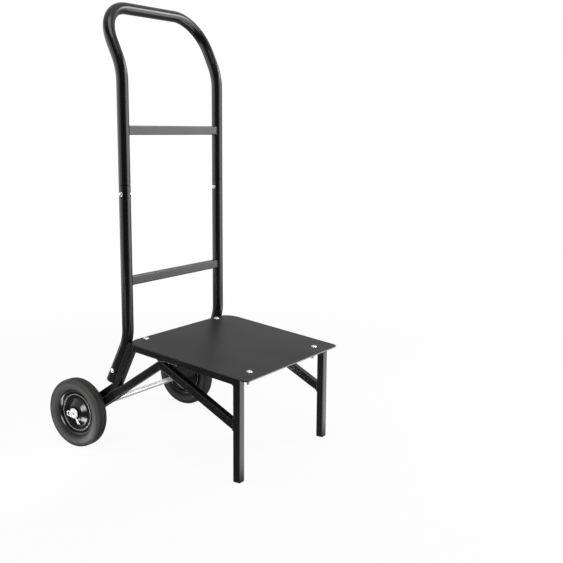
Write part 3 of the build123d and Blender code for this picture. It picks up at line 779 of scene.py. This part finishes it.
hub_edge = [(HUB_HOLE, DOME_HEIGHT)]
bead_inner = BEAD_MIDDLE[0] - BEAD_ROUND
bead_outer = [(BEAD_MIDDLE[0] + BEAD_ROUND + BEAD_MARGIN, RING_FLOOR)]
dome_arc = arc((DOME_FLAT, DOME_HEIGHT - DOME_ARC), DOME_ARC, 90, 90 - DOME_LEAN, steps=12)
dome_foot = arc((DOME_FOOT, RING_FLOOR + DOME_FOOT_ROUND), DOME_FOOT_ROUND, 270 - DOME_LEAN, 270, steps=6)
bead_foot = arc((bead_inner - BEAD_FOOT, RING_FLOOR + BEAD_FOOT), BEAD_FOOT, 270, 360, steps=4)
bead_arc = arc(BEAD_MIDDLE, BEAD_ROUND, 180, 0, steps=16)
wall_foot = arc((WALL_RADIUS - WALL_ROUND, RING_FLOOR + WALL_ROUND), WALL_ROUND, 270, 360, steps=5)
flare = arc(FLARE_MIDDLE, FLARE_ROUND, *(90 + lean for lean in FLARE_LEANS), steps=12)
rolled_edge = arc(ROLL_MIDDLE, ROLL_ROUND, 90 + FLARE_LEANS[1], ROLL_END, steps=10)
rim_profile = hub_edge + dome_arc + dome_foot + bead_foot + bead_arc + bead_outer + wall_foot + flare
rim_profile += rolled_edge[1:] + HIDDEN_SIDE + hub_edge
print("rim profile points", len(rim_profile))

# %% Turn the pressings
pressing = turned("rim_near_outer", rim_profile, RIM_STEPS, smooth_angle=RIM_SMOOTH)
pressings = {
    "rim_near_inner": ("inner", "left", 1),
    "rim_far_outer": ("outer", "right", 1),
    "rim_far_inner": ("inner", "right", -1),
    "rim_near_outer": ("outer", "left", -1),
}
for name, (face, side, way) in pressings.items():
    piece = pressing if name == pressing.name else copy_of(pressing, name)
    set_down(piece, middle(f"tyre_{side}"), (way, 0, 0))
    fit_out(piece, f"wheel_{side}", "rim_paint", f"rim_{face}_{side}")

# %% [markdown]
# ## Split pins
# A split pin is one half-round wire folded double: the fold makes the eye, and the two ends are turned down
# once the pin is through the axle. A curve with a round bevel is the natural way to make a wire. The line is
# drawn as a mesh, turned into a curve to get its thickness, and turned back into a mesh.

# %% Wires
def thickened(thickness, resolution, smooth_angle, swell=None):
    """Make the line in edit mode a round wire. swell(number) varies its thickness from point to point."""
    bpy.ops.object.mode_set(mode="OBJECT")
    bpy.ops.object.convert(target="CURVE")
    line = bpy.context.object
    line.data.bevel_depth = thickness / 2
    line.data.bevel_resolution = resolution
    line.data.use_fill_caps = True
    if swell is not None:
        for number, point in enumerate(line.data.splines[0].points):
            point.radius = swell(number)
    bpy.ops.object.convert(target="MESH")
    bpy.ops.object.mode_set(mode="EDIT")
    return close_up(smooth_angle)


# %% Split pins
PIN_THICKNESS = 0.0034
PIN_SHARE = 0.72
PIN_CORNER = 0.0012
PIN_SMOOTH = 60
AXLE_RADIUS = 0.008
EYE_SHIFT = 0.0004
EYE_DROP = 0.0016
EYE_SWEEP = 150
SHANK_APART = 0.0009
SHANK_PAST = 0.0016
KNEE_PAST = 0.0042
KNEE_DROP = 0.003
KNEE_APART = (0.0006, 0.0012)
SHIN_PAST = 0.0050
SHIN_DROP = 0.014
SHIN_APART = 0.0012
TIP_INSIDE = (0.0036, 0.0008)
TIP_APART = (0.00336, 0.0008)

pin_low, pin_high = (Vector(corner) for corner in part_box("cotter_pin_left"))
pin_x = (pin_low.x + pin_high.x) / 2
eye_reach = pin_high.y - axle_line.y - PIN_THICKNESS / 2
leg_reach = axle_line.y - pin_low.y - PIN_THICKNESS / 2
leg_drop = axle_line.z - pin_low.z - PIN_THICKNESS / 2


def pin_point(back, up):
    """Point of the near pin's plane, measured from the middle of the axle."""
    return (pin_x, axle_line.y + back, axle_line.z + up)


def pin_leg(name, side):
    """Half of the pin: one side of the eye, the shank through the axle and one leg turned down."""
    eye_middle = (AXLE_RADIUS + eye_reach) / 2 + EYE_SHIFT
    eye_half = (eye_reach - AXLE_RADIUS) / 2
    eye = arc((eye_middle, -EYE_DROP), eye_half, 0, side * EYE_SWEEP, steps=12)
    leg = [
        (AXLE_RADIUS, side * SHANK_APART - SHANK_APART),
        (-AXLE_RADIUS - SHANK_PAST, side * SHANK_APART + SHANK_APART),
        (-AXLE_RADIUS - KNEE_PAST + side * KNEE_APART[0], side * KNEE_APART[1] - KNEE_DROP),
        (-AXLE_RADIUS - SHIN_PAST - side * SHIN_APART, -SHIN_DROP),
        (-leg_reach + TIP_INSIDE[0] - side * TIP_APART[0], -leg_drop + TIP_INSIDE[1] + side * TIP_APART[1]),
    ]
    draw_line(name, [pin_point(back, up) for back, up in eye + leg])
    bpy.ops.mesh.select_all(action="SELECT")
    bpy.ops.mesh.bevel(offset=PIN_CORNER, segments=5, affect="VERTICES", clamp_overlap=True)
    merge_all()
    return thickened(PIN_THICKNESS * PIN_SHARE, resolution=3, smooth_angle=PIN_SMOOTH)


near_pin = joined("split_pin_near", [pin_leg("pin_leg_upper", 1), pin_leg("pin_leg_lower", -1)])
fit_pair(near_pin, "split_pin_far", "zinc", "cotter_pin")

# %% [markdown]
# ## Bolts, nuts and washers
# The deck is held by carriage bolts: a smooth dome on top, a plain shank, and a thread below that carries a
# washer and a nut. The handle's joints have smaller bolts of the same kind, put in from the side. Bolts and
# washers are turned. A thread is drawn as a row of sharp rings, which at this size cannot be told from a
# spiral. A nut is first turned as a plain ring. Its outer wall is then pushed out to six flats, and the
# corners are lowered, as on a real nut that was chamfered on a lathe.

# %% How to make a bolt, a nut and a washer
FASTENER_SMOOTH = 30
HEAD_EDGE = 0.0006
HEAD_EDGE_FOOT = 0.3
HEAD_EDGE_EASE = 0.4
BOLT_STEPS = 40
THREAD_DEPTH = 0.0006
THREAD_CREST = 0.1
THREAD_ROOT = 0.55
POINT_LENGTH = 0.0004
POINT_DEPTH = 0.0011
WASHER_STEPS = 56
WASHER_EASE = 0.22
WASHER_PLAY = 0.0005
NUT_STEPS = 72
NUT_SMOOTH = 25
NUT_FACE = 0.96
NUT_BORE_EASE = 0.0005
NUT_CHAMFER = math.tan(math.radians(30))
NUT_PLAY = 0.0001
WALL_MARGIN = 0.00005


def dome_bolt(name, head, dome, shank, length, thread, pitch):
    """A domed bolt, its head on the floor and its shank below, with a thread at the shank's end."""
    head_r = head / 2
    shank_r = shank / 2
    root_r = shank_r - THREAD_DEPTH
    rise = dome - HEAD_EDGE
    sweep = (head_r * head_r + rise * rise) / (2 * rise)
    angle = math.degrees(math.asin(head_r / sweep))
    profile = arc((0.0, dome - sweep), sweep, 90, 90 - angle, steps=12)
    profile += [(head_r, HEAD_EDGE * HEAD_EDGE_FOOT), (head_r - HEAD_EDGE * HEAD_EDGE_EASE, 0.0)]
    profile += [(shank_r, 0.0)]
    depth = length - thread
    while depth < length - pitch:
        profile += [(shank_r, -depth - THREAD_CREST * pitch), (root_r, -depth - THREAD_ROOT * pitch)]
        depth += pitch
    profile += [(root_r, -length + POINT_LENGTH), (shank_r - POINT_DEPTH, -length), (0.0, -length)]
    return turned(name, profile, BOLT_STEPS, FASTENER_SMOOTH)


def washer(name, outer, bore, thickness):
    """A flat washer that stands on the floor, with its punched edges eased."""
    outer_r = outer / 2
    bore_r = bore / 2
    ease = thickness * WASHER_EASE
    profile = [(bore_r, 0.0), (outer_r - ease, 0.0), (outer_r, ease), (outer_r, thickness - ease)]
    profile += [(outer_r - ease, thickness), (bore_r + ease, thickness), (bore_r, thickness - ease)]
    return turned(name, profile + profile[:1], WASHER_STEPS, FASTENER_SMOOTH)


def hex_nut(name, flats, height, bore):
    """A nut that stands on the floor: a turned ring whose wall is pushed out to six flats."""
    flat_r = flats / 2
    bore_r = bore / 2
    eased_r = bore_r + NUT_BORE_EASE
    face_r = flat_r * NUT_FACE
    profile = [(bore_r, 0.0), (eased_r, 0.0), (face_r, 0.0), (flat_r, 0.0), (flat_r, height)]
    profile += [(face_r, height), (eased_r, height), (bore_r, height - NUT_BORE_EASE)]
    nut = turned(name, profile + profile[:1], NUT_STEPS, NUT_SMOOTH)
    for vertex in nut.data.vertices:
        radius = math.hypot(vertex.co.x, vertex.co.y)
        if radius > face_r + WALL_MARGIN:
            corner = (math.atan2(vertex.co.y, vertex.co.x) % (math.pi / 3)) - math.pi / 6
            hexagon = flat_r / math.cos(corner)
            fall = (hexagon - face_r) * NUT_CHAMFER
            vertex.co.x *= hexagon / radius
            vertex.co.y *= hexagon / radius
            vertex.co.z += fall if vertex.co.z < height / 2 else -fall
    return nut


print("bolt, washer and nut are ready to be made")

# %% Where the fasteners are
def solids_of(node, ends=False):
    """Middles of a node's separate solids, told apart by side and, if wanted, by end of the cart."""
    across = middle(node).y
    groups = {}
    for vertex in nodes[node].data.vertices:
        key = (vertex.co.x > 0, ends and vertex.co.y > across)
        groups.setdefault(key, []).append(vertex.co)
    places = []
    for key in sorted(groups):
        low = Vector(min(point[axis] for point in groups[key]) for axis in range(3))
        high = Vector(max(point[axis] for point in groups[key]) for axis in range(3))
        places.append((low + high) / 2)
    return places


def several(name, pattern, places, slot, node):
    """Copies of one piece, each set down at (place, direction, spin), as one object for a CAD node."""
    copies = []
    for number, (place, direction, spin) in enumerate(places):
        copies.append(set_down(copy_of(pattern, f"{name}_{number}"), place, direction, spin))
    choose(pattern)
    bpy.ops.object.delete()
    fit_out(joined(name, copies), "frame", slot, node)


deck_washer_places = solids_of("deck_washers", ends=True)
deck_nut_places = solids_of("deck_nuts", ends=True)
deck_up = (deck_washer_places[0] - deck_nut_places[0]).normalized()
print("deck bolts at", [tuple(round(c, 4) for c in place) for place in deck_washer_places])

# %% Deck bolts with their washers and nuts
DECK_BOLT = 0.008
DECK_WASHER = 0.0016
DECK_NUT = 0.0065
DECK_NUT_TURN = 0.4
HEAD_ABOVE_WASHER = 0.0078

heads = [(place + deck_up * HEAD_ABOVE_WASHER, deck_up, 0.0) for place in deck_washer_places]
pattern = dome_bolt("carriage_bolt", head=0.017, dome=0.0044, shank=DECK_BOLT, length=0.036, thread=0.022,
                    pitch=0.00125)
several("carriage_bolts", pattern, heads, "zinc", "deck_bolts")
pattern = washer("deck_washer", outer=0.018, bore=DECK_BOLT + WASHER_PLAY, thickness=DECK_WASHER)
seats = [(place - deck_up * DECK_WASHER / 2, deck_up, 0.0) for place in deck_washer_places]
several("deck_flat_washers", pattern, seats, "zinc", "deck_washers")
pattern = hex_nut("deck_nut", flats=0.013, height=DECK_NUT, bore=DECK_BOLT + NUT_PLAY)
seats = []
for number, place in enumerate(deck_nut_places):
    seats.append((place - deck_up * DECK_NUT / 2, deck_up, DECK_NUT_TURN * number))
several("deck_hex_nuts", pattern, seats, "zinc", "deck_nuts")

# %% Cross bolts of the handle
CROSS_BOLT = 0.006
CROSS_BOLT_TURN = 0.3
CROSS_DOME = 0.004
CROSS_NUT = 0.005
CROSS_NUT_TURN = 0.2
PAST_NUT = 0.003

for joint in ("handle", "socket"):
    head_x = half_size(f"{joint}_bolts").x - CROSS_DOME
    at = middle(f"{joint}_bolts")
    nut_places = solids_of(f"{joint}_nuts")
    length = head_x - abs(nut_places[0].x) + CROSS_NUT / 2 + PAST_NUT
    heads = [((way * head_x, at.y, at.z), (way, 0, 0), CROSS_BOLT_TURN) for way in (-1, 1)]
    pattern = dome_bolt("cross_bolt", head=0.013, dome=CROSS_DOME, shank=CROSS_BOLT, length=length,
                        thread=0.014, pitch=0.001)
    several(f"{joint}_cross_bolts", pattern, heads, "zinc", f"{joint}_bolts")
    seats = []
    for place in nut_places:
        inwards = -1 if place.x > 0 else 1
        seats.append((place - Vector((inwards * CROSS_NUT / 2, 0, 0)), (inwards, 0, 0), CROSS_NUT_TURN))
    pattern = hex_nut("cross_nut", flats=0.010, height=CROSS_NUT, bore=CROSS_BOLT + NUT_PLAY)
    several(f"{joint}_hex_nuts", pattern, seats, "zinc", f"{joint}_nuts")

# %% Washers of the axle
AXLE_WASHER = 0.002

outer_seat = half_size("axle_washers").x - AXLE_WASHER
inner_seat = min(abs(vertex.co.x) for vertex in nodes["axle_washers"].data.vertices)
seats = []
for way in (-1, 1):
    for x in (inner_seat, outer_seat):
        seats.append(((way * x, axle_line.y, axle_line.z), (way, 0, 0), 0.0))
pattern = washer("axle_washer", outer=0.030, bore=0.0162, thickness=AXLE_WASHER)
several("axle_flat_washers", pattern, seats, "zinc", "axle_washers")

# %% [markdown]
# ## Welds
# The frame is welded before it is coated, so its joints have a low rippled bead under the paint. A weld is a
# wire that follows the joint's outline and swells and shrinks a little along its way. Each one is drawn by
# its corners, divided into short steps, and thickened. The near side's welds are made once and mirrored to
# the far side.

# %% A weld along a joint
WELD_WIDTH = 0.0034
WELD_SMOOTH = 70
RIPPLE = 0.13
RIPPLE_STEPS = 3


def rippled(number):
    """How thick a weld is at a point of its line, as a share of its width."""
    return 1 + RIPPLE * math.cos(2 * math.pi * number / RIPPLE_STEPS)


def weld(name, corners, closed=False, cuts=14, width=WELD_WIDTH):
    """A weld along straight runs between corners, each divided by a number of cuts."""
    draw_line(name, corners + (corners[:1] if closed else []))
    merge_all()
    bpy.ops.mesh.select_all(action="SELECT")
    bpy.ops.mesh.subdivide(number_cuts=cuts)
    return thickened(width, resolution=1, smooth_angle=WELD_SMOOTH, swell=rippled)


def side_points(x, points):
    """Points of a side view (y, z), all at one x."""
    return [(x, y, z) for y, z in points]


print("weld width", WELD_WIDTH)

# %% Joints of the side frames
BRACE_CUT = 0.0248
RAIL_FOOT = (0.2619, 0.2841)
MITRE = ((-0.0469, 0.2906), (-0.0482, 0.2667))
RAIL_SEAM = ((-0.0560, 0.2895), (-0.0395, 0.2914))
RAIL_END = ((0.0408, 0.3230), (0.0512, 0.3021))
POST_FOOT = ((0.1076, 0.1891), (0.1444, 0.1645))
ARM_SEAMS = (((0.1260, 0.1768), (0.2300, 0.1073)), ((0.1030, 0.1657), (0.2180, 0.0889)))

leg_low, leg_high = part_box("front_leg_left")
outer_x = leg_low[0]
inner_x = leg_high[0]
leg_back = leg_high[1]
brace_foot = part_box("brace_left")[0][2]
brace_top = brace_foot + BRACE_CUT


def across_tube(line):
    """A line of the side view on the outer face of a tube, and back again on its inner face."""
    return side_points(outer_x, line) + side_points(inner_x, reversed(line))


def behind_leg(*places):
    """Corners (x, z) on the back face of the leg."""
    return [(x, leg_back, z) for x, z in places]


brace_ring = behind_leg((outer_x, brace_foot), (inner_x, brace_foot), (inner_x, brace_top),
                        (outer_x, brace_top))
rail_hook = behind_leg((outer_x, RAIL_FOOT[1]), (outer_x, RAIL_FOOT[0]), (inner_x, RAIL_FOOT[0]),
                       (inner_x, RAIL_FOOT[1]))
welds = [
    weld("weld_brace", brace_ring, closed=True),
    weld("weld_rail_front", rail_hook),
    weld("weld_mitre", across_tube(MITRE)),
    weld("weld_rail_outside", side_points(outer_x, RAIL_SEAM), cuts=20),
    weld("weld_rail_inside", side_points(inner_x, RAIL_SEAM), cuts=20),
    weld("weld_rail_rear", across_tube(RAIL_END)),
    weld("weld_post", across_tube(POST_FOOT), closed=True, cuts=20),
]
for seam in ARM_SEAMS:
    welds.append(weld("weld_plate", side_points(inner_x, seam), cuts=70))
fit_pair(joined("weld_beads_near", welds), "weld_beads_far", "frame_coat")

# %% Joints of the handle
TUBE_X = 0.209
TUBE_RADIUS = 0.016
SADDLE_STEPS = 5
BAR_WELD = 0.0026
SOCKET_WELD = 0.003
SOCKET_SEAM = ((0.1050, 0.2460), (0.1262, 0.2035))
SOCKET_SEAM_PLACES = (-0.0062, 0.0058)


def saddle(bar_node):
    """Outline of a crossbar's end on the round handle tube of the near side."""
    half = half_size(bar_node)
    at = middle(bar_node)
    swings = [half.y * (2 * count / SADDLE_STEPS - 1) for count in range(SADDLE_STEPS + 1)]
    top = [(-TUBE_X + math.sqrt(TUBE_RADIUS ** 2 - dy * dy), at.y + dy, at.z + half.z) for dy in swings]
    low = [(x, y, at.z - half.z) for x, y, z in reversed(top)]
    return top + low


handle_welds = []
for node in ("crossbar_upper", "crossbar_lower"):
    handle_welds.append(weld("weld_bar", saddle(node), closed=True, cuts=5, width=BAR_WELD))
for place in SOCKET_SEAM_PLACES:
    seam = side_points(-TUBE_X + place, SOCKET_SEAM)
    handle_welds.append(weld("weld_socket", seam, cuts=34, width=SOCKET_WELD))
fit_pair(joined("handle_beads_near", handle_welds), "handle_beads_far", "frame_coat")

# %% [markdown]
# ## Plastic feet and plugs
# Each leg stands in a moulded foot: a square sole with rounded corners, and a plug up inside the tube. The
# sockets are closed from below by round plugs with a slightly sunk cap. The foot is a cube that is cut to
# size, bevelled and stepped in by an inset; the plug is turned.

# %% Feet
FOOT_SOLE = 0.004
FOOT_PLUG = 0.014
FOOT_CORNER = 0.0026
FOOT_EASE = 0.0009
TUBE_WALL = 0.0016
LEVEL = 0.9

foot_middle = middle("foot_glide_left")
foot_width = 2 * half_size("foot_glide_left").x
begin()
bpy.ops.mesh.primitive_cube_add(size=1.0)
foot = bpy.context.object
foot.name = "foot_near"
bpy.ops.object.mode_set(mode="EDIT")
bpy.ops.transform.resize(value=(foot_width, foot_width, FOOT_SOLE))
bpy.ops.mesh.select_mode(type="EDGE")
bpy.ops.mesh.select_all(action="DESELECT")
bpy.ops.object.mode_set(mode="OBJECT")
for edge in foot.data.edges:
    first, second = (foot.data.vertices[number].co for number in edge.vertices)
    edge.select = abs(first.z - second.z) > FOOT_SOLE / 2
bpy.ops.object.mode_set(mode="EDIT")
bpy.ops.mesh.bevel(offset=FOOT_CORNER, segments=6, affect="EDGES")
pick_faces(foot, lambda face: face.normal.z > LEVEL)
bpy.ops.mesh.inset(thickness=TUBE_WALL)
bpy.ops.mesh.extrude_region_move(TRANSFORM_OT_translate={"value": (0, 0, FOOT_PLUG)})
pick_faces(foot, lambda face: face.normal.z < -LEVEL)
bpy.ops.mesh.bevel(offset=FOOT_EASE, segments=4, affect="EDGES")
bpy.ops.mesh.select_mode(type="VERT")
close_up()
set_down(foot, (foot_middle.x, foot_middle.y, FOOT_SOLE / 2), (0, 0, 1))
fit_pair(foot, "foot_far", "black_plastic", "foot_glide")

# %% Plugs of the sockets
PLUG_STEPS = 48
PLUG_SMOOTH = 30
PLUG_RADIUS = 0.016
PLUG_CAP = 0.003
PLUG_ROUND = 0.0014
PLUG_DEPTH = 0.005
PLUG_BORE = 0.0139
PLUG_EASE = 0.0006
SUNK_RADII = (0.0090, 0.0086)
SUNK_DEPTH = 0.0004
SOCKET_END = (0.14221, 0.20499)
POST_LEAN = math.radians(26.5)

post_down = Vector((0.0, math.sin(POST_LEAN), -math.cos(POST_LEAN)))
sunk_level = PLUG_CAP - SUNK_DEPTH
plug_profile = [(0.0, -PLUG_DEPTH), (PLUG_BORE - PLUG_EASE, -PLUG_DEPTH)]
plug_profile += [(PLUG_BORE, -PLUG_DEPTH + PLUG_EASE), (PLUG_BORE, 0.0), (PLUG_RADIUS, 0.0)]
plug_profile += arc((PLUG_RADIUS - PLUG_ROUND, PLUG_CAP - PLUG_ROUND), PLUG_ROUND, 0, 90, steps=6)
plug_profile += [(SUNK_RADII[0], PLUG_CAP), (SUNK_RADII[1], sunk_level), (0.0, sunk_level)]
plug_seats = [((place.x, *SOCKET_END), post_down, 0.0) for place in solids_of("socket_plugs")]
plug = turned("socket_plug", plug_profile, PLUG_STEPS, PLUG_SMOOTH)
several("socket_end_plugs", plug, plug_seats, "black_plastic", "socket_plugs")
